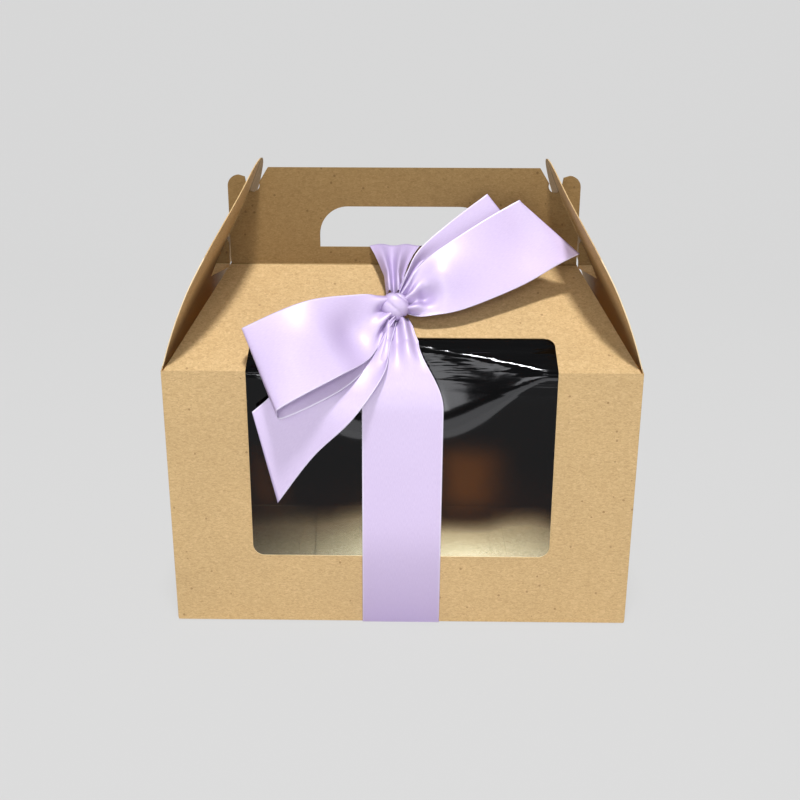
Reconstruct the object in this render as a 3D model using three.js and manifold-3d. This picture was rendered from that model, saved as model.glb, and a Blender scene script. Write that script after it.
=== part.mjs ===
import * as THREE from "three";
import { mergeVertices } from "three/addons/utils/BufferGeometryUtils.js";
import Module from "manifold-3d";

const wasm = await Module();
wasm.setup();

// A gable box of kraft card with a bent film window and a satin ribbon tied round it.
// Millimetres, +Z up, front towards -Y, origin on the floor under the middle of the box.

// Carton
const boxWidth = 240;
const boxDepth = 150;
const wallTop = 140;
const card = 0.5;
const layerGap = 0.35;
const lift = 0.6;

// Roof and handle
const foldHeight = 181;
const handleHalf = 95.5;
const handleTop = 233;
const handleSpread = 0.65;
const holeHalf = 46;
const holeBottom = 190.2;
const holeTop = 212.3;
const holeRadius = 15.5;
const earTop = 229;
const earRadius = 6;

// Window
const windowHalf = 77.8;
const windowBottom = 39.2;
const windowOnRoof = 25;
const windowRadius = 6;

// Side flaps, which bow inwards and hook into the notches of the handle
const flapTip = 99;
const bridgeBottom = 221.2;
const slotBottom = 195;
const slotHalf = 1.6;

// Film and ribbon
const film = 0.25;
const filmHalf = 87;
const ribbonWidth = 41;
const ribbon = 0.3;
const press = 22;

const w = boxWidth / 2 - card / 2;
const d = boxDepth / 2 - card / 2;
const outerBottom = lift + card / 2;
const innerBottom = outerBottom + card + layerGap;
const roofRun = d - handleSpread;
const roofRise = foldHeight - wallTop;
const roofLength = Math.hypot(roofRun, roofRise);
const vec = (x, y, z) => new THREE.Vector3(x, y, z);

// Solids from three.js geometry, and their sums and differences
function solid(geometry) {
  const bare = new THREE.BufferGeometry();
  bare.setAttribute("position", geometry.getAttribute("position"));
  bare.setIndex(geometry.index);
  const g = mergeVertices(bare, 1e-4);
  return new wasm.Manifold(
    new wasm.Mesh({
      numProp: 3,
      vertProperties: new Float32Array(g.attributes.position.array),
      triVerts: new Uint32Array(g.index.array),
    }),
  );
}

const join = (parts) => parts.reduce((a, b) => a.add(b));

function meshOf(name, manifold, material) {
  const m = manifold.getMesh();
  const g = new THREE.BufferGeometry();
  g.setAttribute("position", new THREE.BufferAttribute(new Float32Array(m.vertProperties), 3));
  g.setIndex(new THREE.BufferAttribute(new Uint32Array(m.triVerts), 1));
  g.computeVertexNormals();
  const mesh = new THREE.Mesh(g, material);
  mesh.name = name;
  return mesh;
}

function polygon(points) {
  return new THREE.Shape(points.map((p) => new THREE.Vector2(p[0], p[1])));
}

// A flat shape in a frame of its own, thick about its middle
function plate(shape, thick, origin, right, up) {
  const out = right.clone().cross(up);
  const g = new THREE.ExtrudeGeometry(shape, {
    depth: thick,
    bevelEnabled: false,
    curveSegments: 8,
  });
  g.translate(0, 0, -thick / 2);
  g.applyMatrix4(new THREE.Matrix4().makeBasis(right, up, out).setPosition(origin));
  return solid(g);
}

// The rounded outside of a fold, from one end to the other
function fold(a, b) {
  const along = b.clone().sub(a);
  const g = new THREE.CylinderGeometry(card / 2, card / 2, along.length(), 8);
  g.applyQuaternion(
    new THREE.Quaternion().setFromUnitVectors(vec(0, 1, 0), along.clone().normalize()),
  );
  g.translate((a.x + b.x) / 2, (a.y + b.y) / 2, (a.z + b.z) / 2);
  return solid(g);
}

function roundedRectangle(left, bottom, right, top, radius) {
  const s = new THREE.Shape();
  s.moveTo(left + radius, bottom);
  s.lineTo(right - radius, bottom);
  s.absarc(right - radius, bottom + radius, radius, -Math.PI / 2, 0, false);
  s.lineTo(right, top - radius);
  s.absarc(right - radius, top - radius, radius, 0, Math.PI / 2, false);
  s.lineTo(left + radius, top);
  s.absarc(left + radius, top - radius, radius, Math.PI / 2, Math.PI, false);
  s.lineTo(left, bottom + radius);
  s.absarc(left + radius, bottom + radius, radius, Math.PI, 1.5 * Math.PI, false);
  return s;
}

const X = vec(1, 0, 0);
const Y = vec(0, 1, 0);
const Z = vec(0, 0, 1);

// Walls: the front one starts at the outer bottom layer, the others at the inner one
function wall(origin, right, half, from) {
  const shape = polygon([[-half, from], [half, from], [half, wallTop], [-half, wallTop]]);
  return plate(shape, card, origin, right, Z);
}

function walls() {
  const end = w - card - layerGap;
  const backMiddle = (w - end) / 2;
  const tab = polygon([
    [-d + 22, innerBottom + 8],
    [-d, innerBottom + 2],
    [-d, wallTop - 4],
    [-d + 22, wallTop - 10],
  ]);
  return [
    wall(vec(0, -d, 0), X, w, outerBottom),
    wall(vec(backMiddle, d, 0), X, (w + end) / 2, innerBottom),
    wall(vec(w, 0, 0), Y, d, innerBottom),
    wall(vec(-w, 0, 0), Y, d, innerBottom),
    plate(tab, card, vec(-end, 0, 0), Y.clone().negate(), Z),
    fold(vec(w, -d, innerBottom), vec(w, -d, wallTop)),
    fold(vec(-w, -d, innerBottom), vec(-w, -d, wallTop)),
    fold(vec(w, d, innerBottom), vec(w, d, wallTop)),
    fold(vec(-end, d, innerBottom + 2), vec(-end, d, wallTop - 4)),
  ];
}

// Bottom: one full outer flap from the front wall, three inner ones glued on it
function bottom() {
  const outer = polygon([[-w + 0.6, -d], [w - 0.6, -d], [w - 0.6, d - 0.3], [-w + 0.6, d - 0.3]]);
  const dust = polygon([[0, -d + 1.2], [0, d - 1.2], [-46, d - 12], [-56, d - 30], [-56, -d + 6]]);
  const inner = polygon([[-58, d], [58, d], [52, -20], [-52, -20]]);
  return [
    plate(outer, card, vec(0, 0, outerBottom), X, Y),
    fold(vec(-w + 0.6, -d, outerBottom), vec(w - 0.6, -d, outerBottom)),
    plate(dust, card, vec(w, 0, innerBottom), X, Y),
    plate(dust, card, vec(-w, 0, innerBottom), X.clone().negate(), Y),
    fold(vec(w, -d + 1.2, innerBottom), vec(w, d - 1.2, innerBottom)),
    fold(vec(-w, -d + 1.2, innerBottom), vec(-w, d - 1.2, innerBottom)),
    plate(inner, card, vec(0, 0, innerBottom), X, Y),
    fold(vec(-58, d, innerBottom), vec(58, d, innerBottom)),
  ];
}

// Roof panels taper up to the handle panels
function roof(side) {
  const base = w - 1.2;
  const up = vec(0, -side * roofRun, roofRise).normalize();
  const shape = polygon([[-base, 0], [base, 0], [handleHalf, roofLength], [-handleHalf, roofLength]]);
  return [
    plate(shape, card, vec(0, side * d, wallTop), X, up),
    fold(vec(-base, side * d, wallTop), vec(base, side * d, wallTop)),
    fold(
      vec(-handleHalf, side * handleSpread, foldHeight),
      vec(handleHalf, side * handleSpread, foldHeight),
    ),
  ];
}

// One handle panel: notches with round bottoms, ears beyond them, and the hand hole
function handle(side) {
  const s = new THREE.Shape();
  const notchX = 81.9;
  const notchZ = 223.7;
  const notchRadius = 3.7;
  const lean = Math.PI - 0.38;
  s.moveTo(-handleHalf, foldHeight);
  s.lineTo(handleHalf, foldHeight);
  s.lineTo(handleHalf, earTop - earRadius);
  s.absarc(handleHalf - earRadius, earTop - earRadius, earRadius, 0, Math.PI / 2, false);
  s.lineTo(86.2, 228);
  s.absarc(notchX, notchZ, notchRadius, 0.1, lean, true);
  s.lineTo(73.4, handleTop);
  s.lineTo(-73.4, handleTop);
  s.absarc(-notchX, notchZ, notchRadius, Math.PI - lean, Math.PI - 0.1, true);
  s.lineTo(-86.2, 228);
  s.lineTo(-handleHalf + earRadius, earTop);
  s.absarc(-handleHalf + earRadius, earTop - earRadius, earRadius, Math.PI / 2, Math.PI, false);
  const hole = new THREE.Path();
  hole.moveTo(-holeHalf, holeBottom);
  hole.lineTo(holeHalf, holeBottom);
  hole.absarc(holeHalf - holeRadius, holeTop - holeRadius, holeRadius, 0, Math.PI / 2, false);
  hole.absarc(-holeHalf + holeRadius, holeTop - holeRadius, holeRadius, Math.PI / 2, Math.PI, false);
  s.holes.push(hole);
  return plate(s, card, vec(0, side * handleSpread, 0), X, Z);
}

// The bowed profile of a side flap: how far in it has come at each height over the wall
const flapProfile = new THREE.SplineCurve(
  [[0, 0], [6.8, 20], [15, 40], [23.6, 57], [35.4, 80], [43.2, flapTip]].map(
    (p) => new THREE.Vector2(w - p[0], wallTop + p[1]),
  ),
);

function flap(side) {
  const middle = flapProfile.getPoints(16);
  const offset = (to) =>
    middle.map((p, i) => {
      const a = middle[Math.max(i - 1, 0)];
      const b = middle[Math.min(i + 1, middle.length - 1)];
      const t = b.clone().sub(a).normalize();
      return [side * (p.x + to * t.y), p.y - to * t.x];
    });
  const outline = [...offset(card / 2), ...offset(-card / 2).reverse()];
  const sheet = plate(polygon(outline), 2 * d + 20, vec(0, 0, 0), X, Z);
  const s = new THREE.Shape();
  s.moveTo(-d + 1.2, wallTop - 1);
  s.lineTo(d - 1.2, wallTop - 1);
  s.bezierCurveTo(d + 3, wallTop + 42, 66, wallTop + 62, 20, wallTop + 92);
  s.quadraticCurveTo(0, wallTop + 104, -20, wallTop + 92);
  s.bezierCurveTo(-66, wallTop + 62, -d - 3, wallTop + 42, -d + 1.2, wallTop - 1);
  const cutter = plate(s, 120, vec(side * 90, 0, 0), Y, Z);
  const slot = plate(
    roundedRectangle(-slotHalf, slotBottom, slotHalf, bridgeBottom, slotHalf - 0.1),
    120,
    vec(side * 90, 0, 0),
    Y,
    Z,
  );
  const at = (z) => flapProfile.getPointAt((z - wallTop) / flapTip).x;
  const tongue = polygon([
    [side * (at(slotBottom) + 0.5), slotBottom - 0.6],
    [side * (handleHalf + 0.7), slotBottom - 3],
    [side * (handleHalf + 1.2), 179],
    [side * (at(174) + 1), 173],
  ]);
  return [
    sheet.intersect(cutter).subtract(slot),
    fold(vec(side * w, -d + 1.2, wallTop), vec(side * w, d - 1.2, wallTop)),
    plate(tongue, card, vec(0, 0, 0), X, Z),
  ];
}

function windowCut() {
  const up = vec(0, roofRun, roofRise).normalize();
  const front = roundedRectangle(
    -windowHalf, windowBottom, windowHalf, wallTop + 12, windowRadius,
  );
  const top = roundedRectangle(-windowHalf, -12, windowHalf, windowOnRoof, windowRadius);
  return [
    plate(front, 6, vec(0, -d, 0), X, Z).intersect(
      plate(polygon([[-99, 0], [99, 0], [99, wallTop + 1], [-99, wallTop + 1]]), 8, vec(0, -d, 0), X, Z),
    ),
    plate(top, 6, vec(0, -d, wallTop), X, up).intersect(
      plate(polygon([[-99, -1], [99, -1], [99, 60], [-99, 60]]), 8, vec(0, -d, wallTop), X, up),
    ),
  ];
}

function carton() {
  const body = join([
    ...walls(),
    ...bottom(),
    ...roof(-1),
    ...roof(1),
    handle(-1),
    handle(1),
    ...flap(-1),
    ...flap(1),
  ]);
  return windowCut().reduce((a, b) => a.subtract(b), body);
}

// A thin closed sheet from rows of points, one row after another along its length
function sheetOf(rows, thick) {
  const n = rows.length;
  const m = rows[0].length;
  const normal = (i, j) => {
    const along = rows[Math.min(i + 1, n - 1)][j].clone().sub(rows[Math.max(i - 1, 0)][j]);
    const across = rows[i][Math.min(j + 1, m - 1)].clone().sub(rows[i][Math.max(j - 1, 0)]);
    return across.cross(along).normalize();
  };
  const points = [];
  for (const to of [thick / 2, -thick / 2])
    for (let i = 0; i < n; i++)
      for (let j = 0; j < m; j++)
        points.push(rows[i][j].clone().addScaledVector(normal(i, j), to));
  const at = (layer, i, j) => layer * n * m + i * m + j;
  const index = [];
  const quad = (a, b, c, e) => index.push(a, b, c, a, c, e);
  for (let i = 0; i < n - 1; i++)
    for (let j = 0; j < m - 1; j++) {
      quad(at(0, i, j), at(0, i, j + 1), at(0, i + 1, j + 1), at(0, i + 1, j));
      quad(at(1, i, j), at(1, i + 1, j), at(1, i + 1, j + 1), at(1, i, j + 1));
    }
  for (let i = 0; i < n - 1; i++) {
    quad(at(0, i, 0), at(0, i + 1, 0), at(1, i + 1, 0), at(1, i, 0));
    quad(at(0, i, m - 1), at(1, i, m - 1), at(1, i + 1, m - 1), at(0, i + 1, m - 1));
  }
  for (let j = 0; j < m - 1; j++) {
    quad(at(0, 0, j), at(1, 0, j), at(1, 0, j + 1), at(0, 0, j + 1));
    quad(at(0, n - 1, j), at(0, n - 1, j + 1), at(1, n - 1, j + 1), at(1, n - 1, j));
  }
  const g = new THREE.BufferGeometry();
  g.setAttribute(
    "position",
    new THREE.BufferAttribute(new Float32Array(points.flatMap((p) => [p.x, p.y, p.z])), 3),
  );
  g.setIndex(index);
  return solid(g);
}

// Where the window crosses the front fold the film and the ribbon cut the corner, as (y, z)
function corner(cut, inset, steps) {
  const up = vec(0, roofRun, roofRise).normalize();
  const inward = vec(0, up.z, -up.y);
  const y = -boxDepth / 2 + inset;
  const onRoof = vec(0, -d, wallTop).addScaledVector(inward, inset - card / 2);
  const meet = onRoof.clone().addScaledVector(up, (y - onRoof.y) / up.y);
  const from = meet.clone().addScaledVector(up, cut);
  const to = meet.clone().addScaledVector(Z, -cut);
  return new THREE.QuadraticBezierCurve3(from, meet, to).getPoints(steps);
}

function windowFilm() {
  const inset = card + 0.3 + film / 2;
  const columns = 28;
  const rows = [];
  const up = vec(0, roofRun, roofRise).normalize();
  for (let i = 0; i < 16; i++) rows.push([]);
  for (let j = 0; j <= columns; j++) {
    const x = -filmHalf + (2 * filmHalf * j) / columns;
    const near = THREE.MathUtils.smoothstep(-Math.abs(x), -windowHalf + 2, -ribbonWidth / 2 - 4);
    const line = corner(2 + press * near, inset, 11);
    const top = line[0].clone();
    const ends = [
      top.clone().addScaledVector(up, windowOnRoof + 10 - 2 - press * near),
      top.clone().addScaledVector(up, (windowOnRoof + 10 - 2 - press * near) / 2),
      ...line,
      vec(0, line[11].y, (line[11].z + windowBottom) / 2),
      vec(0, line[11].y, windowBottom - 9),
    ];
    ends.forEach((p, i) => rows[i].push(vec(x, p.y, p.z)));
  }
  return sheetOf(rows, film);
}

// Ribbon: each station is its two edges; narrow stations gather into pleats
function strip(stations, options) {
  const { steps = 14, columns = 14, pleats = 2, straight = false, shift = 0 } = options;
  const curve = (k) => new THREE.CatmullRomCurve3(stations.map((s) => vec(...s.slice(k, k + 3))));
  const left = curve(0);
  const right = curve(3);
  const count = straight ? stations.length - 1 : steps;
  const rows = [];
  for (let i = 0; i <= count; i++) {
    const a = straight ? vec(...stations[i].slice(0, 3)) : left.getPoint(i / count);
    const b = straight ? vec(...stations[i].slice(3, 6)) : right.getPoint(i / count);
    rows.push([a, b]);
  }
  return rows.map(([a, b], i) => {
    const before = rows[Math.max(i - 1, 0)];
    const after = rows[Math.min(i + 1, rows.length - 1)];
    const along = after[0].clone().add(after[1]).sub(before[0]).sub(before[1]);
    const across = b.clone().sub(a);
    const out = across.clone().cross(along).normalize();
    const wide = Math.min(across.length(), ribbonWidth);
    const depth = (0.7 * Math.sqrt(ribbonWidth ** 2 - wide ** 2)) / (4 * pleats);
    const row = [];
    for (let j = 0; j <= columns; j++) {
      const u = j / columns;
      const wave = depth * (Math.cos(2 * Math.PI * pleats * u + shift) - (straight ? 1 : 0));
      row.push(a.clone().lerp(b, u).addScaledVector(out, wave));
    }
    return row;
  });
}

// The length round the box: over the front fold, under the bottom, up the back, through the hole
function band() {
  const off = ribbon / 2 + 0.3;
  const half = ribbonWidth / 2;
  const path = [
    [-46, 160.5, -4, 7],
    [-50, 157.4, -2.2, 7.5],
    [-55, 153.9, -1.8, 8.6],
  ];
  const bend = corner(press, -off, 10);
  bend.forEach((p, i) => {
    const t = THREE.MathUtils.smoothstep(i, 0, 9.5);
    path.push([p.y, p.z, 0.6 * t - 1.5 * (1 - t), 9.8 + (half - 9.8) * t]);
  });
  const y = boxDepth / 2 + off;
  const turn = 0.8;
  path.push(
    [-y, 60, 0.3, half],
    [-y, lift, 0, half],
    [-y + turn, ribbon / 2, 0, half],
    [0, ribbon / 2, 0, half],
    [y - turn, ribbon / 2, 0, half],
    [y, lift, 0, half],
    [y, 70, 0, half],
    [y, wallTop, 0, half],
    [y - 0.8, wallTop + 0.9, 0, half],
    [38, 166, 0, 17],
    [handleSpread + 1.2, holeBottom + off - 0.2, -3, 14],
    [handleSpread + 0.5, holeBottom + off + 0.1, -4, 13.7],
    [-handleSpread - 0.5, holeBottom + off + 0.1, -5, 13.7],
    [-handleSpread - 1.2, holeBottom + off - 0.2, -5, 13.4],
    [-14, 183, -5.2, 8],
    [-24, 178, -4.8, 5.2],
    [-38, 170.5, -4, 4.5],
  );
  const stations = path.map(([py, pz, x, h]) => [x - h, py, pz, x + h, py, pz]);
  return strip(stations, { straight: true });
}

// Bow: edges taken from the photograph, knot first
const leftLoop = [
  [-4, -44, 172, -4, -48, 162],
  [-12, -48, 173, -9, -56, 155],
  [-22, -54, 175, -16, -68, 145],
  [-46, -66, 174, -31, -84, 140],
  [-75, -74.5, 163.5, -57, -92, 127.5],
  [-78, -73, 161, -60.5, -90, 123],
  [-75, -67, 157, -57, -86.5, 119.6],
  [-47, -57, 162, -30, -80.5, 132],
  [-20, -56, 164, -15, -70, 143.5],
  [-9, -50, 167, -7, -58, 156],
  [-4, -44, 168, -4, -49, 161],
];
const leftTail = [
  [-6, -48, 165, -3, -50, 160],
  [-13, -56, 162, -6, -63, 152],
  [-27, -64, 157, -9, -75, 139],
  [-50, -77, 142, -24, -83, 118],
  [-68, -80, 126, -44, -83, 98],
  [-74.3, -81, 120.8, -62.8, -83, 72.7],
];
const rightLoop = [
  [-3, -40, 171, 1, -42, 165],
  [1, -36, 181, 11, -38, 167],
  [8, -28, 193, 23, -33, 175],
  [24, -18, 206, 45, -25, 180],
  [42, -13, 219, 65, -21, 191],
  [44, -10.5, 220, 67, -17, 193],
  [41, -8, 217, 64, -13, 190],
  [23, -13, 203, 42, -16, 181],
  [7, -26, 189, 17, -28, 178],
  [-3, -41, 172, 1, -43, 167],
];
const rightTail = [
  [-2, -45, 171, 0, -47, 164],
  [3, -42, 178, 8, -50, 163],
  [7, -38, 184.5, 16, -50, 163.5],
  [17, -32, 193, 32, -47, 166],
  [42, -24, 208.5, 61, -37, 176],
  [59, -19, 217.5, 81, -30, 186],
  [61, -18.5, 217.8, 93, -25, 191],
];

function knot() {
  const g = new THREE.SphereGeometry(1, 22, 14);
  const bare = new THREE.BufferGeometry();
  bare.setAttribute("position", g.getAttribute("position"));
  bare.setIndex(g.index);
  const m = mergeVertices(bare, 1e-5);
  const p = m.getAttribute("position");
  for (let i = 0; i < p.count; i++) {
    const n = vec(p.getX(i), p.getY(i), p.getZ(i));
    const crease = 1 + 0.07 * Math.cos(9 * (n.x * 0.8 + n.z * 0.6)) * (1 - n.y * n.y * 0.3);
    p.setXYZ(i, n.x * 7.2 * crease - 3.8, n.y * 5.8 * crease - 45, n.z * 7 * crease + 167);
  }
  return solid(m);
}

// The tightest pleats close small pockets in the knot, which are filled
function ribbonSolid() {
  const all = join([
    sheetOf(band(), ribbon),
    knot(),
    sheetOf(strip(leftLoop, { steps: 24, columns: 12, shift: 1.4 }), ribbon),
    sheetOf(strip(leftTail, { columns: 12 }), ribbon),
    sheetOf(strip(rightLoop, { steps: 24, columns: 12 }), ribbon),
    sheetOf(strip(rightTail, { pleats: 2.5, shift: 1 }), ribbon),
  ]);
  return join(all.simplify(0.1).decompose().filter((body) => body.volume() > 0));
}

const kraft = new THREE.MeshStandardMaterial({ color: 0xc6a670, roughness: 0.9 });
const clear = new THREE.MeshStandardMaterial({
  color: 0xdfe2e4,
  roughness: 0.08,
  transparent: true,
  opacity: 0.3,
});
const satin = new THREE.MeshStandardMaterial({ color: 0xcdb8e6, roughness: 0.4 });

const root = new THREE.Group();
root.add(meshOf("carton", carton(), kraft));
root.add(meshOf("window_film", windowFilm(), clear));
root.add(meshOf("ribbon", ribbonSolid(), satin));

export default root;
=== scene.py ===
import math

import bmesh
import bpy
from mathutils import Matrix, Vector


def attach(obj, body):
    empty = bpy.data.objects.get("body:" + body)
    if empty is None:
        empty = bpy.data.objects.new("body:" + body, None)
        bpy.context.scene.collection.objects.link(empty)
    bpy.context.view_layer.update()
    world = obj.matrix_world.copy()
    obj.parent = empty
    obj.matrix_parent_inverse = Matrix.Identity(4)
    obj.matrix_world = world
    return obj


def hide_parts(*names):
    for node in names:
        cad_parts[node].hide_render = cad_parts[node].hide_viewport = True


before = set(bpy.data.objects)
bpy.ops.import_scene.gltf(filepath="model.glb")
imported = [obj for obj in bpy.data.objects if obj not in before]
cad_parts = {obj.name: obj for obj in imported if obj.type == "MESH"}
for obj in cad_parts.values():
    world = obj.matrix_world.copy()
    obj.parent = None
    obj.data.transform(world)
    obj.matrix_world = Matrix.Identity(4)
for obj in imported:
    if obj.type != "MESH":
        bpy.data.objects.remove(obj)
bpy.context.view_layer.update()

# A kraft gable box with a bent film window and a lilac satin ribbon tied round it.
# The part's own sizes are in millimetres, and MM turns them into metres.
MM = 0.001

# The carton
FRONT_HALF = 120
DEPTH = 150
WALL_TOP = 140
FOLD_HEIGHT = 181
HANDLE_SPREAD = 0.65
HOLE_BOTTOM = 190.2
FLAP_NEAREST = 97.5
CARD = 0.5
WALL_MIDDLE = DEPTH / 2 - CARD / 2
ROOF_UP = Vector((0, WALL_MIDDLE - HANDLE_SPREAD, FOLD_HEIGHT - WALL_TOP)).normalized()
ROOF_IN = Vector((0, ROOF_UP.z, -ROOF_UP.y))

# The window film, with the ridge and the dent that the ribbon presses into it
WINDOW_BOTTOM = 39.2
WINDOW_ON_ROOF = 25
FILM = 0.2
FILM_HALF = 87
GLUE_ON_ROOF = 10
GLUE_ON_FRONT = 9
FILM_GAP = 0.3
DENT_HALF = 73
RIDGE_UP = (2, 13.5)
DENT_DOWN = (2.5, 26)
RIDGE_ROUND = 2.4
DENT_ROUND = 10

# The ribbon
RIBBON_WIDTH = 41
RIBBON = 0.3
RIBBON_GAP = 0.3
PRESS = 22
LIFT = 0.6
PLEATS_FROM, PLEATS_TO = 14, 34
KNOT_MIDDLE = (-3.8, -46.2, 167)
KNOT_SIZE = (7.6, 6.2, 7.4)

# The camera, from the photograph's perspective
CAMERA_PLACE = (5.08, -551.2, 279)
CAMERA_YAW, CAMERA_PITCH, CAMERA_ROLL = -0.707, 17.85, -0.181
LENS, SENSOR = 45, 36

# The room, in metres
FLOOR_FRONT, FLOOR_BACK, ROOM_HALF, ROOM_HEIGHT, COVE = -2.5, 0.9, 3, 2.6, 0.5
BACKDROP_TONE, GLOW_TONE, GLOW_SHARE = 0.8, 0.694, 0.93
SKY_COLOR, SKY_STRENGTH = (0.95, 0.97, 1, 1), 0.3

# The lamps, in metres, degrees and watts: name, place, aim, size, spread, power
LAMPS = [
    ("top", (0.01, -0.4, 1.4), (0, -0.02, 0.1), 0.14, 180, 17),
    ("low", (0.02, -0.62, 0.05), (0, -0.05, 0), 0.3, 180, 0.9),
    ("card", (-0.02, -1.3, 0.68), (0, -0.05, 0.12), 0.3, 180, 1.4),
    ("high_card", (-0.2, -1.2, 0.66), (0, -0.05, 0.14), 0.28, 180, 1.7),
    ("inside", (0.02, -0.01, 0.085), (0.02, 0, 0), 0.12, 120, 0.28),
]

scene = bpy.context.scene
scene.view_settings.view_transform = "Standard"


def smooth(value, low, high):
    t = min(max((value - low) / (high - low), 0), 1)
    return t * t * (3 - 2 * t)


# Materials


class Finish:
    """A material, with short ways to add its nodes and to join them."""

    def __init__(self, name):
        self.material = bpy.data.materials.new(name)
        self.material.use_nodes = True
        self.nodes = self.material.node_tree.nodes
        self.links = self.material.node_tree.links
        self.shader = self.nodes["Principled BSDF"]

    def give(self, socket, value):
        """Link an input to another node's output, or set it to a number or a colour."""
        if isinstance(value, bpy.types.NodeSocket):
            self.links.new(value, socket)
        else:
            socket.default_value = value

    def surface(self, **inputs):
        """Set the main shader. An underscore in an input's name stands for a space."""
        for name, value in inputs.items():
            self.give(self.shader.inputs[name.replace("_", " ")], value)

    def node(self, kind, **inputs):
        """Add a node, with its inputs named as for surface."""
        node = self.nodes.new("ShaderNode" + kind)
        for name, value in inputs.items():
            self.give(node.inputs[name.replace("_", " ")], value)
        return node

    def maths(self, operation, *values):
        node = self.node("Math")
        node.operation = operation
        for socket, value in zip(node.inputs, values):
            self.give(socket, value)
        return node.outputs[0]

    def product(self, first, *others):
        for value in others:
            first = self.maths("MULTIPLY", first, value)
        return first

    def over(self, value, limit):
        return self.maths("GREATER_THAN", value, limit)

    def under(self, value, limit):
        return self.maths("LESS_THAN", value, limit)

    def unsigned(self, value):
        return self.maths("ABSOLUTE", value)

    def split(self, vector):
        return self.node("SeparateXYZ", Vector=vector).outputs

    def place(self):
        return self.node("TexCoord").outputs["Object"]

    def stretched(self, vector, scale, lean=0):
        """The vector scaled along each axis, and leaned by some degrees as seen from the front."""
        turn = (0, math.radians(lean), 0)
        return self.node("Mapping", Vector=vector, Rotation=turn, Scale=scale).outputs[0]

    def noise(self, vector, scale, detail, roughness=0.5, distortion=0):
        node = self.node("TexNoise", Vector=vector, Scale=scale, Detail=detail)
        node.inputs["Roughness"].default_value = roughness
        node.inputs["Distortion"].default_value = distortion
        return node.outputs["Fac"]

    def fade(self, value, start, end, low=0, high=1, kind="LINEAR"):
        """From low where the value is at start to high where it is at end."""
        node = self.node("MapRange", Value=value, From_Min=start, From_Max=end)
        node.inputs["To Min"].default_value = low
        node.inputs["To Max"].default_value = high
        node.interpolation_type = kind
        return node.outputs[0]

    def ramp(self, factor, *stops):
        node = self.node("ValToRGB", Fac=factor)
        elements = node.color_ramp.elements
        for element, (place, color) in zip(elements, (stops[0], stops[-1])):
            element.position = place
            element.color = color
        for place, color in stops[1:-1]:
            elements.new(place).color = color
        return node.outputs[0]

    def mix(self, factor, a, b, blend="MIX"):
        node = self.node("Mix")
        node.data_type = "RGBA"
        node.blend_type = blend
        self.give(node.inputs[0], factor)
        self.give(node.inputs[6], a)
        self.give(node.inputs[7], b)
        return node.outputs[2]

    def relief(self, height, strength, distance):
        bump = self.node("Bump", Height=height, Strength=strength, Distance=distance)
        return bump.outputs[0]

    def show_mixed(self, factor, a, b):
        """Show shader a, and shader b by the factor, in place of the main shader alone."""
        node = self.node("MixShader")
        self.give(node.inputs[0], factor)
        self.give(node.inputs[1], a)
        self.give(node.inputs[2], b)
        self.give(self.nodes["Material Output"].inputs[0], node.outputs[0])


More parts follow.
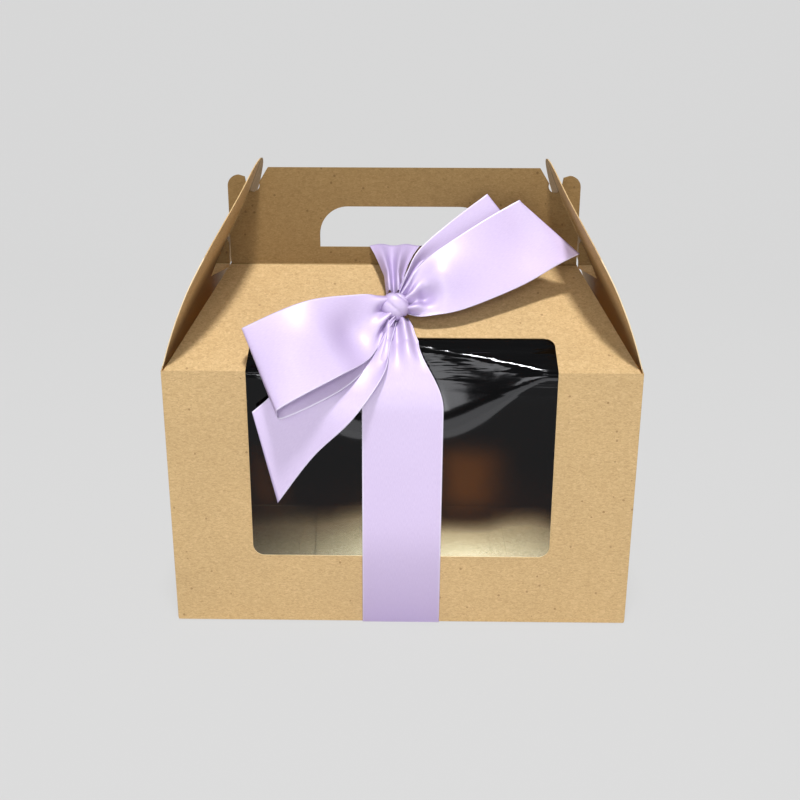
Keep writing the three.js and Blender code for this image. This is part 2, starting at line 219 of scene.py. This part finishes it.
def kraft_card():
    finish = Finish("kraft_card")
    place = finish.place()
    x, y, z = finish.split(place)

    # Long fibres with a fine grain, and slow changes of tone
    fibres = finish.noise(finish.stretched(place, (1, 1, 2.4)), 520, 6, 0.65, 1.2)
    fibre_color = finish.ramp(
        fibres,
        (0.3, (0.43, 0.282, 0.124, 1)),
        (0.5, (0.555, 0.378, 0.18, 1)),
        (0.7, (0.67, 0.472, 0.25, 1)),
    )
    tone = finish.noise(place, 26, 4)
    tone_color = finish.ramp(tone, (0.3, (0.93, 0.93, 0.93, 1)), (0.7, (1, 1, 1, 1)))
    card = finish.mix(1.0, fibre_color, tone_color, "MULTIPLY")

    # Dark specks of bark
    bark, bark_share, rarity, largest = (0.2, 0.11, 0.04, 1), 0.55, 0.72, 0.16
    specks = finish.node("TexVoronoi", Vector=place, Scale=190, Randomness=1)
    chance = specks.outputs["Color"]
    speck = finish.under(specks.outputs["Distance"], finish.product(chance, largest))
    card = finish.mix(finish.product(speck, finish.over(chance, rarity), bark_share), card, bark)

    # Cut edges are paler: the window's on the front, the handle's and the side flaps'
    pale, pale_share = (0.82, 0.66, 0.42, 1), 0.8
    edge_on, flap_edge_on = 0.3, 0.35
    front_inside = -(DEPTH / 2 - CARD - 0.05) * MM
    front_side, front_foot = (FRONT_HALF - 3) * MM, 20 * MM
    handle_outside, flap_start = 1 * MM, 1.5 * MM
    over_fold, over_wall = (FOLD_HEIGHT + 0.5) * MM, (WALL_TOP + 0.5) * MM
    roof_level = (WALL_TOP * ROOF_UP.y + WALL_MIDDLE * ROOF_UP.z + 1.5) * MM
    geometry = finish.node("NewGeometry")
    facing_x, facing_y, _ = finish.split(geometry.outputs["True Normal"])
    sideways, forward = finish.unsigned(facing_x), finish.unsigned(facing_y)
    wide, deep = finish.unsigned(x), finish.unsigned(y)
    over_roof = finish.maths(
        "ADD", finish.product(z, ROOF_UP.y), finish.product(deep, ROOF_UP.z)
    )
    front_edge = finish.product(
        finish.under(y, front_inside),
        finish.under(forward, edge_on),
        finish.under(wide, front_side),
        finish.over(z, front_foot),
    )
    handle_edge = finish.product(
        finish.under(deep, handle_outside),
        finish.under(forward, edge_on),
        finish.over(z, over_fold),
    )
    flap_edge = finish.product(
        finish.over(deep, flap_start),
        finish.under(sideways, flap_edge_on),
        finish.over(z, over_wall),
        finish.over(wide, FLAP_NEAREST * MM),
        finish.over(over_roof, roof_level),
    )
    edge = finish.maths("MAXIMUM", front_edge, handle_edge)
    edge = finish.maths("MAXIMUM", edge, flap_edge)
    card = finish.mix(finish.product(edge, pale_share), card, pale)

    # Painted shade darkens the side flaps down in the fold beside the roof
    fold_shade, shade_height, shade_share = (0.1, 0.055, 0.022, 1), 20 * MM, 0.9
    beside = finish.product(finish.over(z, over_wall), finish.over(sideways, flap_edge_on))
    shade = finish.fade(over_roof, roof_level + shade_height, roof_level, 0, shade_share)
    card = finish.mix(finish.product(beside, shade), card, fold_shade)

    # Painted shade: the upright handle panels are darkened below the roof and the walls
    handle_shade_color = (0.48, 0.43, 0.33, 1)
    handle_panels, handle_foot = 2.2 * MM, (FOLD_HEIGHT - 0.4) * MM
    upright = finish.product(finish.under(deep, handle_panels), finish.over(z, handle_foot))
    card = finish.mix(upright, card, finish.mix(1.0, card, handle_shade_color, "MULTIPLY"))

    finish.surface(
        Base_Color=card,
        Roughness=0.72,
        Specular_IOR_Level=0.25,
        Normal=finish.relief(fibres, 0.35, 0.08 * MM),
    )
    return finish.material


def clear_film():
    finish = Finish("clear_film")
    finish.nodes.remove(finish.shader)
    place = finish.place()
    x, y, z = finish.split(place)

    # Painted shade in the film's tint: dark where it lies before the inside under the roof, pale
    # low down over the floor, and darker to the left
    wander = finish.noise(place, 16, 1)
    wandering = finish.maths("ADD", z, finish.product(wander, 30 * MM))
    through_painted_shade = finish.ramp(
        finish.fade(wandering, 52 * MM, 155 * MM),
        (0.0, (0.7, 0.82, 0.95, 1)),
        (0.2, (0.5, 0.55, 0.6, 1)),
        (0.3, (0.1, 0.07, 0.05, 1)),
        (0.5, (0.04, 0.03, 0.025, 1)),
        (1.0, (0.035, 0.025, 0.022, 1)),
    )
    painted_shade_left = finish.fade(x, -30 * MM, 30 * MM, 0.8, 1)
    through_painted_shade = finish.mix(1.0, through_painted_shade, painted_shade_left, "MULTIPLY")

    # Two brown patches painted into the film's tint, for the shaded back wall behind it: middle,
    # half width, tone
    painted_wall_patches = [(34, 26, (0.27, 0.2, 0.12, 1)), (-70, 18, (0.3, 0.23, 0.14, 1))]
    patch_height, patch_half, ragged = 83 * MM, 20, finish.product(wander, 12 * MM)
    outer, inner = 1.35 * MM, 0.35 * MM
    away_z = finish.unsigned(finish.maths("SUBTRACT", z, patch_height))
    tall = finish.fade(away_z, patch_half * outer, patch_half * inner, kind="SMOOTHSTEP")
    for middle, half, tone in painted_wall_patches:
        away_x = finish.unsigned(finish.maths("SUBTRACT", x, middle * MM))
        away_x = finish.maths("ADD", away_x, ragged)
        broad = finish.fade(away_x, half * outer, half * inner, kind="SMOOTHSTEP")
        through_painted_shade = finish.mix(finish.product(broad, tall), through_painted_shade, tone)
    clear = finish.node("BsdfTransparent", Color=through_painted_shade)

    # Fine creases fan along the bend, and broad soft waves lie over the front
    crease_share, wave_share = 0.32, 0.7
    creases = finish.noise(finish.stretched(place, (0.22, 2.2, 2.2), -9), 60, 3)
    on_roof = finish.fade(z, 128 * MM, 146 * MM)
    waves = finish.noise(finish.stretched(place, (0.6, 1, 2.4)), 9, 1)
    height = finish.maths(
        "ADD", finish.product(creases, on_roof, crease_share), finish.product(waves, wave_share)
    )
    normal = finish.relief(height, 1, 3 * MM)
    gloss = finish.node("BsdfGlossy", Color=(0.95, 0.96, 1, 1), Roughness=0.09, Normal=normal)
    mirror = finish.node("Fresnel", IOR=1.32, Normal=normal)
    finish.show_mixed(mirror.outputs[0], clear.outputs[0], gloss.outputs[0])
    return finish.material


def lilac_satin():
    finish = Finish("lilac_satin")
    uv = finish.node("UVMap")
    uv.uv_map = "weave"
    across = finish.split(uv.outputs[0])[0]

    # Fine threads run along the ribbon, and its two selvages are paler
    threads = finish.noise(finish.stretched(uv.outputs[0], (5200, 420, 1)), 1, 3)
    color = finish.ramp(
        threads, (0.3, (0.585, 0.475, 0.715, 1)), (0.7, (0.655, 0.545, 0.78, 1))
    )
    pale, pale_share, selvage_width = (0.8, 0.74, 0.9, 1), 0.7, 0.7
    half = RIBBON_WIDTH / 2
    from_middle = finish.unsigned(finish.maths("SUBTRACT", across, half * MM))
    selvage = finish.over(from_middle, (half - selvage_width) * MM)
    color = finish.mix(finish.product(selvage, pale_share), color, pale)

    # Painted shade: the satin's colour turns a deeper lilac where it faces away from the view
    away = finish.node("LayerWeight", Blend=0.5).outputs["Facing"]
    color = finish.mix(finish.fade(away, 0.12, 0.75, 0, 0.9), color, (0.34, 0.25, 0.47, 1))
    finish.surface(
        Base_Color=color,
        Roughness=0.4,
        Specular_IOR_Level=0.7,
        Sheen_Weight=0.2,
        Sheen_Roughness=0.4,
        Normal=finish.relief(threads, 0.25, 0.05 * MM),
    )
    return finish.material


KRAFT = kraft_card()
CLEAR = clear_film()
SATIN = lilac_satin()


# Camera, backdrop and lamps


def photo_camera():
    data = bpy.data.cameras.new("photo_camera")
    data.sensor_width = SENSOR
    data.lens = LENS
    data.clip_start = 0.01
    camera = bpy.data.objects.new("photo_camera", data)
    scene.collection.objects.link(camera)
    yaw, pitch, roll = (math.radians(a) for a in (CAMERA_YAW, CAMERA_PITCH, CAMERA_ROLL))
    ahead = Vector(
        (math.sin(yaw) * math.cos(pitch), math.cos(yaw) * math.cos(pitch), -math.sin(pitch))
    )
    right = Vector((math.cos(yaw), -math.sin(yaw), 0))
    down = ahead.cross(right)
    turned_right = right * math.cos(roll) + down * math.sin(roll)
    turned_down = down * math.cos(roll) - right * math.sin(roll)
    turn = Matrix((turned_right, -turned_down, -ahead)).transposed().to_4x4()
    camera.matrix_world = Matrix.Translation(Vector(CAMERA_PLACE) * MM) @ turn
    scene.camera = camera


def pale_backdrop():
    """A floor that curves up into a wall, and that looks pale without lighting the box."""
    mesh = bpy.data.meshes.new("backdrop")
    bm = bmesh.new()
    profile = [(FLOOR_FRONT, 0), (FLOOR_BACK, 0)]
    for i in range(1, 13):
        a = math.pi / 2 * i / 12
        profile.append((FLOOR_BACK + COVE * math.sin(a), COVE - COVE * math.cos(a)))
    profile.append((FLOOR_BACK + COVE, ROOM_HEIGHT))
    rings = [[bm.verts.new((x, y, z)) for x in (-ROOM_HALF, ROOM_HALF)] for y, z in profile]
    for a, b in zip(rings, rings[1:]):
        bm.faces.new((a[0], a[1], b[1], b[0])).smooth = True
    bm.to_mesh(mesh)
    bm.free()
    backdrop = bpy.data.objects.new("backdrop", mesh)
    scene.collection.objects.link(backdrop)

    finish = Finish("pale_backdrop")
    finish.surface(Base_Color=(*[BACKDROP_TONE] * 3, 1), Roughness=0.9)
    glow = finish.node("Emission", Color=(*[GLOW_TONE] * 3, 1), Strength=1)
    ray = finish.node("LightPath").outputs
    seen = finish.maths("MAXIMUM", ray["Is Camera Ray"], ray["Is Glossy Ray"])
    seen = finish.maths("MAXIMUM", seen, ray["Is Transmission Ray"])
    finish.show_mixed(
        finish.product(seen, GLOW_SHARE), finish.shader.outputs[0], glow.outputs[0]
    )
    mesh.materials.append(finish.material)


def studio_light():
    world = bpy.data.worlds.new("studio")
    scene.world = world
    world.use_nodes = True
    sky = world.node_tree.nodes["Background"]
    sky.inputs[0].default_value = SKY_COLOR
    sky.inputs[1].default_value = SKY_STRENGTH
    for name, place, aim, size, spread, power in LAMPS:
        data = bpy.data.lights.new(name, "AREA")
        data.shape = "SQUARE"
        data.size = size
        data.spread = math.radians(spread)
        data.energy = power
        lamp = bpy.data.objects.new(name, data)
        scene.collection.objects.link(lamp)
        lamp.location = place
        lamp.rotation_euler = (Vector(aim) - Vector(place)).to_track_quat("-Z", "Y").to_euler()


# Pieces: sheets from rows of points


def sheet_object(name, rows, thick, material, uv_rows=None):
    mesh = bpy.data.meshes.new(name)
    bm = bmesh.new()
    grid = [[bm.verts.new(p * MM) for p in row] for row in rows]
    layer = bm.loops.layers.uv.new("weave")
    for i in range(len(grid) - 1):
        for j in range(len(grid[0]) - 1):
            corners = [(i, j), (i, j + 1), (i + 1, j + 1), (i + 1, j)]
            face = bm.faces.new([grid[a][b] for a, b in corners])
            face.smooth = True
            if uv_rows:
                for loop, (a, b) in zip(face.loops, corners):
                    loop[layer].uv = uv_rows[a][b]
    bm.to_mesh(mesh)
    bm.free()
    piece = bpy.data.objects.new(name, mesh)
    scene.collection.objects.link(piece)
    mesh.materials.append(material)
    bpy.ops.object.select_all(action="DESELECT")
    piece.select_set(True)
    bpy.context.view_layer.objects.active = piece
    wall = piece.modifiers.new("thickness", "SOLIDIFY")
    wall.thickness = thick * MM
    wall.offset = 0
    bpy.ops.object.modifier_apply(modifier="thickness")
    return piece


def spline(points, t):
    """A point on the Catmull-Rom curve through the points, with t from 0 to 1."""
    n = len(points) - 1
    s = min(max(t, 0), 1) * n
    i = min(int(s), n - 1)
    u = s - i
    b, c = points[i], points[i + 1]
    a = points[i - 1] if i > 0 else b * 2 - c
    d = points[i + 2] if i + 2 <= n else c * 2 - b
    return (
        b * 2
        + (c - a) * u
        + (a * 2 - b * 5 + c * 4 - d) * u * u
        + (b * 3 - a - c * 3 + d) * u * u * u
    ) * 0.5


def rounded(start, peak, end, steps):
    """Points on the curve that leaves the start for the peak and turns to the end."""
    points = []
    for i in range(steps + 1):
        t = i / steps
        points.append(start * (1 - t) ** 2 + peak * 2 * t * (1 - t) + end * t * t)
    return points


def front_fold(inset):
    """Where the front and the roof meet, at some depth under the card's outer face."""
    y = -DEPTH / 2 + inset
    on_roof = Vector((0, -WALL_MIDDLE, WALL_TOP)) + ROOF_IN * (inset - CARD / 2)
    return on_roof + ROOF_UP * ((y - on_roof.y) / ROOF_UP.y)


# Ribbon: a station is the two edges of the ribbon, and a narrow one gathers into pleats


def ribbon_rows(left, right, columns, pleats, shift, outward, full, swells=()):
    """Rows of points across the ribbon, one for each station.

    shift moves the pleats across, outward lifts them off the card, and full is the share of
    the ribbon's spare width that they take. A swell is its place along and across, its reach
    along and across, and its rise towards the front.
    """
    count = len(left)
    rows, uv_rows, run = [], [], 0
    for i in range(count):
        a, b = left[i], right[i]
        before, after = max(i - 1, 0), min(i + 1, count - 1)
        along = left[after] + right[after] - left[before] - right[before]
        across = b - a
        out = across.cross(along).normalized()
        width = min(across.length, RIBBON_WIDTH)
        deep = full * math.sqrt(RIBBON_WIDTH**2 - width**2) / (4 * pleats)
        deep *= 1 - smooth(width, PLEATS_FROM, PLEATS_TO)
        if i:
            run += ((a + b) / 2 - (left[i - 1] + right[i - 1]) / 2).length
        row, uv_row = [], []
        for j in range(columns + 1):
            u = j / columns
            wave = deep * (math.cos(2 * math.pi * pleats * u + shift) - (1 if outward else 0))
            swell = 0
            for at, place, reach, spread, rise in swells:
                away = ((i / (count - 1) - at) / reach) ** 2 + ((u - place) / spread) ** 2
                swell += rise * math.exp(-away)
            if out.y > 0:
                swell = -swell
            row.append(a.lerp(b, u) + out * (wave + swell))
            uv_row.append((u * RIBBON_WIDTH * MM, run * MM))
        rows.append(row)
        uv_rows.append(uv_row)
    return rows, uv_rows


def ribbon_piece(name, rows, uv_rows):
    """The piece, and its length along the ribbon."""
    return sheet_object(name, rows, RIBBON, SATIN, uv_rows), uv_rows[-1][0][1]


def bow_part(name, stations, steps, pleats, shift, swells):
    left = [Vector(s[:3]) for s in stations]
    right = [Vector(s[3:]) for s in stations]
    rows, uv_rows = ribbon_rows(
        [spline(left, i / steps) for i in range(steps + 1)],
        [spline(right, i / steps) for i in range(steps + 1)],
        columns=48,
        pleats=pleats,
        shift=shift,
        outward=False,
        full=0.6,
        swells=swells,
    )
    return ribbon_piece(name, rows, uv_rows)


# Stations: the place of one edge, then of the other
LEFT_LOOP = [
    (-4, -44, 172, -4, -48, 162),
    (-12, -48, 173, -9, -56, 155),
    (-22, -54, 175, -16, -68, 145),
    (-46, -66, 174, -31, -84, 140),
    (-75, -74.5, 163.5, -57, -92, 127.5),
    (-78, -73, 161, -60.5, -90, 123),
    (-75, -67, 157, -57, -86.5, 119.6),
    (-47, -57, 162, -30, -80.8, 132),
    (-20, -51, 163, -15, -65, 142.5),
    (-9, -46, 166, -7, -55, 155),
    (-4, -43, 167, -4, -48, 161),
]
LEFT_TAIL = [
    (-6, -48, 165, -3, -50, 160),
    (-10, -46.5, 160, -6, -61.5, 151),
    (-24, -57, 154, -9, -75, 139),
    (-50, -77, 142, -24, -83, 118),
    (-68, -80, 126, -44, -83, 98),
    (-74.3, -81, 120.8, -62.8, -83, 72.7),
]
RIGHT_LOOP = [
    (-3, -40, 171, 1, -42, 165),
    (1, -36, 181, 11, -38, 167),
    (8, -28, 193, 23, -33, 175),
    (24, -18, 206, 45, -25, 180),
    (42, -13, 219, 65, -21, 191),
    (44, -10.5, 220, 67, -17, 193),
    (41, -8, 217, 64, -13, 190),
    (23, -13, 203, 42, -16, 181),
    (7, -26, 189, 17, -28, 178),
    (-3, -41, 172, 1, -43, 167),
]
RIGHT_TAIL = [
    (-2, -45, 171, 0, -47, 164),
    (3, -42, 178, 8, -50, 163),
    (7, -38, 184.5, 16, -50, 163.5),
    (17, -32, 193, 32, -47, 166),
    (42, -24, 208.5, 61, -37, 176),
    (59, -19, 217.5, 81, -30, 186),
    (61, -18.5, 217.8, 93, -25, 191),
]

# Loops and tails: name, stations, steps, pleats, shift, swells
BOW = [
    (
        "ribbon_loop_left",
        LEFT_LOOP,
        90,
        2,
        1.4,
        [(0.225, 0.5, 0.06, 0.35, -5.5), (0.34, 0.4, 0.06, 0.45, 4)],
    ),
    ("ribbon_tail_left", LEFT_TAIL, 60, 2, 1.6, [(0.42, 0.6, 0.12, 0.3, -2.5)]),
    ("ribbon_loop_right", RIGHT_LOOP, 90, 2, 0.0, []),
    (
        "ribbon_tail_right",
        RIGHT_TAIL,
        60,
        2.5,
        1.0,
        [(0.33, 0.6, 0.08, 0.18, -5.5), (0.48, 0.4, 0.09, 0.35, 4.5), (0.75, 0.5, 0.12, 0.5, -3.5)],
    ),
]


def band():
    """The length round the box: front, under the bottom, up the back, through the hand hole."""
    # A place on the path is its y, its z, the middle's x and the half width
    off = RIBBON / 2 + RIBBON_GAP
    half, front_half, hole_half = RIBBON_WIDTH / 2, 9.8, 14
    path = [(-46, 160.5, -4, 7), (-50, 157.4, -2.2, 7.5), (-55, 153.9, -1.8, 8.6)]

    # Where the window crosses the front fold, the ribbon cuts the corner
    fold = front_fold(-off)
    steps = 20
    bend = rounded(fold + ROOF_UP * PRESS, fold, fold - Vector((0, 0, PRESS)), steps)
    for i, p in enumerate(bend):
        t = smooth(i, 0, steps - 1)
        path.append((p.y, p.z, 0.6 * t - 1.5 * (1 - t), front_half + (half - front_half) * t))

    y = DEPTH / 2 + off
    turn = 0.8
    back_y, back_z = y - turn, WALL_TOP + 0.9
    path += [
        (-y, 60, 0.3, half),
        (-y, LIFT, 0, half),
        (-y + turn, RIBBON / 2, 0, half),
        (0, RIBBON / 2, 0, half),
        (y - turn, RIBBON / 2, 0, half),
        (y, LIFT, 0, half),
        (y, 70, 0, half),
        (y, WALL_TOP, 0, half),
        (back_y, back_z, 0, half),
    ]

    # Up the back of the roof it narrows towards the hand hole
    hole_y, hole_z = HANDLE_SPREAD + 1.2, HOLE_BOTTOM + off - 0.2
    for i in range(1, 12):
        t = i / 12
        narrow = smooth(t, 0, 1)
        path.append(
            (
                back_y + (hole_y - back_y) * t,
                back_z + (hole_z - back_z) * t,
                -3 * narrow,
                half + (hole_half - half) * narrow,
            )
        )
    path += [
        (hole_y, hole_z, -3, hole_half),
        (HANDLE_SPREAD + 0.5, HOLE_BOTTOM + off + 0.1, -4, 13.7),
        (-HANDLE_SPREAD - 0.5, HOLE_BOTTOM + off + 0.1, -5, 13.7),
        (-hole_y, hole_z, -5, 13.4),
        (-7, 187, -5.2, 10.6),
        (-14, 183, -5.2, 8),
        (-24, 178, -4.8, 5.2),
        (-38, 170.5, -4, 4.5),
    ]
    rows, uv_rows = ribbon_rows(
        [Vector((x - h, py, pz)) for py, pz, x, h in path],
        [Vector((x + h, py, pz)) for py, pz, x, h in path],
        columns=64,
        pleats=2,
        shift=0.7,
        outward=True,
        full=0.45,
    )
    return ribbon_piece("ribbon_band", rows, uv_rows)


def knot():
    bpy.ops.object.select_all(action="DESELECT")
    bpy.ops.mesh.primitive_uv_sphere_add(segments=64, ring_count=40, radius=1)
    piece = bpy.context.object
    piece.name = "ribbon_knot"
    mesh = piece.data
    layer = mesh.uv_layers[0]
    layer.name = "weave"
    for loop in layer.data:
        loop.uv = (0.004 + loop.uv[1] * 0.03, loop.uv[0] * 0.04)
    for vertex in mesh.vertices:
        n = vertex.co.copy()
        fold = abs(math.sin(3.4 * (n.x * 0.66 + n.z * 0.75) + 0.7 * n.y + 0.5)) ** 0.35
        crease = 0.87 + 0.15 * fold
        place = [a * size * crease + at for a, size, at in zip(n, KNOT_SIZE, KNOT_MIDDLE)]
        vertex.co = Vector(place) * MM
    mesh.materials.append(SATIN)
    for face in mesh.polygons:
        face.use_smooth = True
    return piece


def wrinkled_film():
    """The film, with a ridge on the roof and a dent below it that both deepen at the ribbon."""
    fold = front_fold(CARD + FILM_GAP + FILM / 2)
    top = WINDOW_ON_ROOF + GLUE_ON_ROOF
    bottom = WINDOW_BOTTOM - GLUE_ON_FRONT
    columns, roof_steps, ridge_steps, slope_steps, foot_steps, front_steps = 160, 16, 8, 7, 12, 30
    rows = []
    for j in range(columns + 1):
        x = -FILM_HALF + 2 * FILM_HALF * j / columns
        near = max((DENT_HALF - abs(x)) / (DENT_HALF - RIBBON_WIDTH / 2), 0)
        up = RIDGE_UP[0] + RIDGE_UP[1] * near
        down = DENT_DOWN[0] + DENT_DOWN[1] * smooth(near, 0, 1)
        ridge = fold + ROOF_UP * up
        foot = fold - Vector((0, 0, down))
        slope = (foot - ridge).normalized()
        roof_length = top - up - RIDGE_ROUND
        profile = [
            ridge + ROOF_UP * (RIDGE_ROUND + roof_length * (1 - i / roof_steps))
            for i in range(roof_steps)
        ]
        profile += rounded(
            ridge + ROOF_UP * RIDGE_ROUND, ridge, ridge + slope * RIDGE_ROUND, ridge_steps
        )
        soft = min((foot - ridge).length * 0.42, DENT_ROUND)
        start, end = foot - slope * soft, foot - Vector((0, 0, soft))
        last = profile[-1]
        profile += [last.lerp(start, i / slope_steps) for i in range(1, slope_steps)]
        profile += rounded(start, foot, end, foot_steps)
        profile += [
            Vector((0, end.y, end.z + (bottom - end.z) * (i + 1) / front_steps))
            for i in range(front_steps)
        ]
        rows.append([Vector((x, p.y, p.z)) for p in profile])
    rows = [list(row) for row in zip(*rows)]
    return sheet_object("film_window", rows, FILM, CLEAR)


photo_camera()
pale_backdrop()
studio_light()

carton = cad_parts["carton"]
carton.data.materials.clear()
carton.data.materials.append(KRAFT)

film = wrinkled_film()
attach(film, "root")
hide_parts("window_film")

ribbons = [band()]
knot_piece = knot()
for part in BOW:
    ribbons.append(bow_part(*part))
for piece, length in ribbons:
    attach(piece, "root")
    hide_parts("ribbon")
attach(knot_piece, "root")
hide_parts("ribbon")
